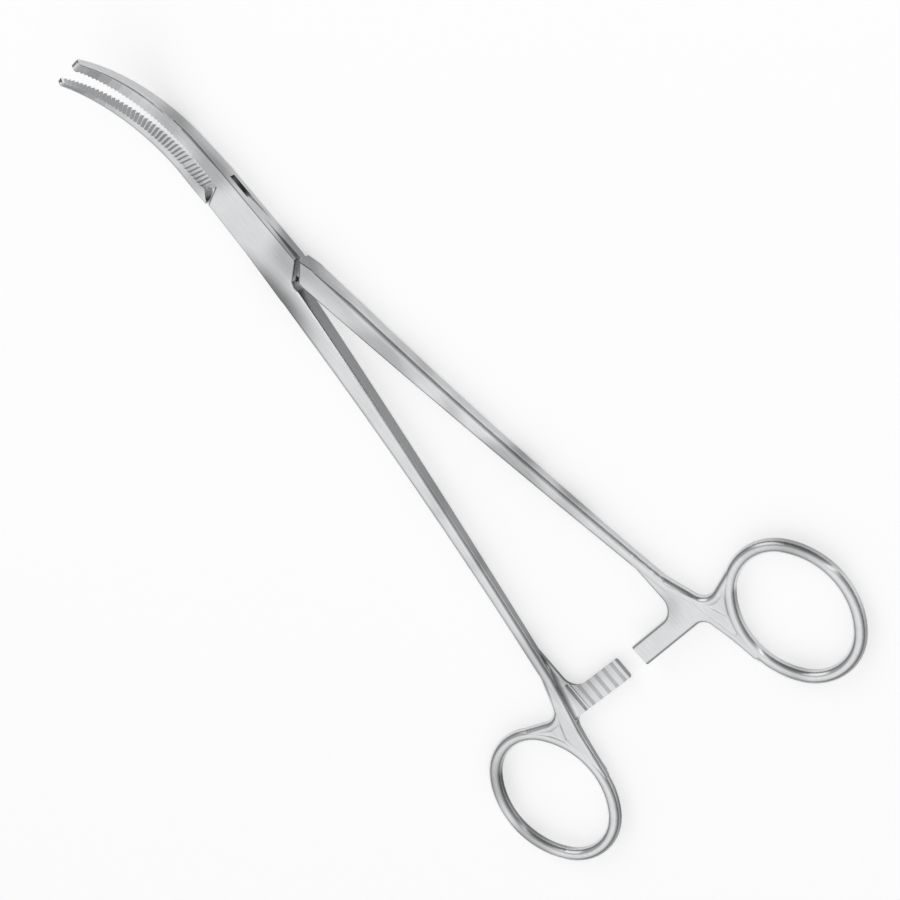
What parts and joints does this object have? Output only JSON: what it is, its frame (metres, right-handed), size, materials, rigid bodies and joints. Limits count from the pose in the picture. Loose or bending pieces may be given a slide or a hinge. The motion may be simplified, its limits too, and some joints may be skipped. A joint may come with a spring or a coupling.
{
  "type": "hemostatic forceps",
  "caption": "Curved hemostatic forceps: slim serrated jaws bent upwards, a box lock hinge, bowed shanks with ratchet bars and oval finger rings, for clamping blood vessels",
  "frame": {"origin": "On the hinge axis of the box lock, in the plane of the box's flat underside", "axes": "+Y runs along the forceps towards the jaw tips, +Z is the hinge axis and the side the jaws curve towards, +X points to the side of the male half's shank"},
  "size_m": [0.103, 0.2005, 0.0185],
  "materials": {
    "female_half": "satin polished stainless steel",
    "male_half": "satin polished stainless steel",
    "pivot_pin": "satin polished stainless steel, ground flush"
  },
  "bodies": {
    "female_side": {"female_half": "female_half", "pivot_pin": "pivot_pin"},
    "male_side": {"male_half": "male_half"}
  },
  "joints": [
    {"name": "box_lock_hinge", "type": "hinge", "parent": "female_side", "child": "male_side", "pos_m": [0, 0, 0], "axis": [0, 0, 1], "range_deg": [-4.3, 35]}
  ]
}
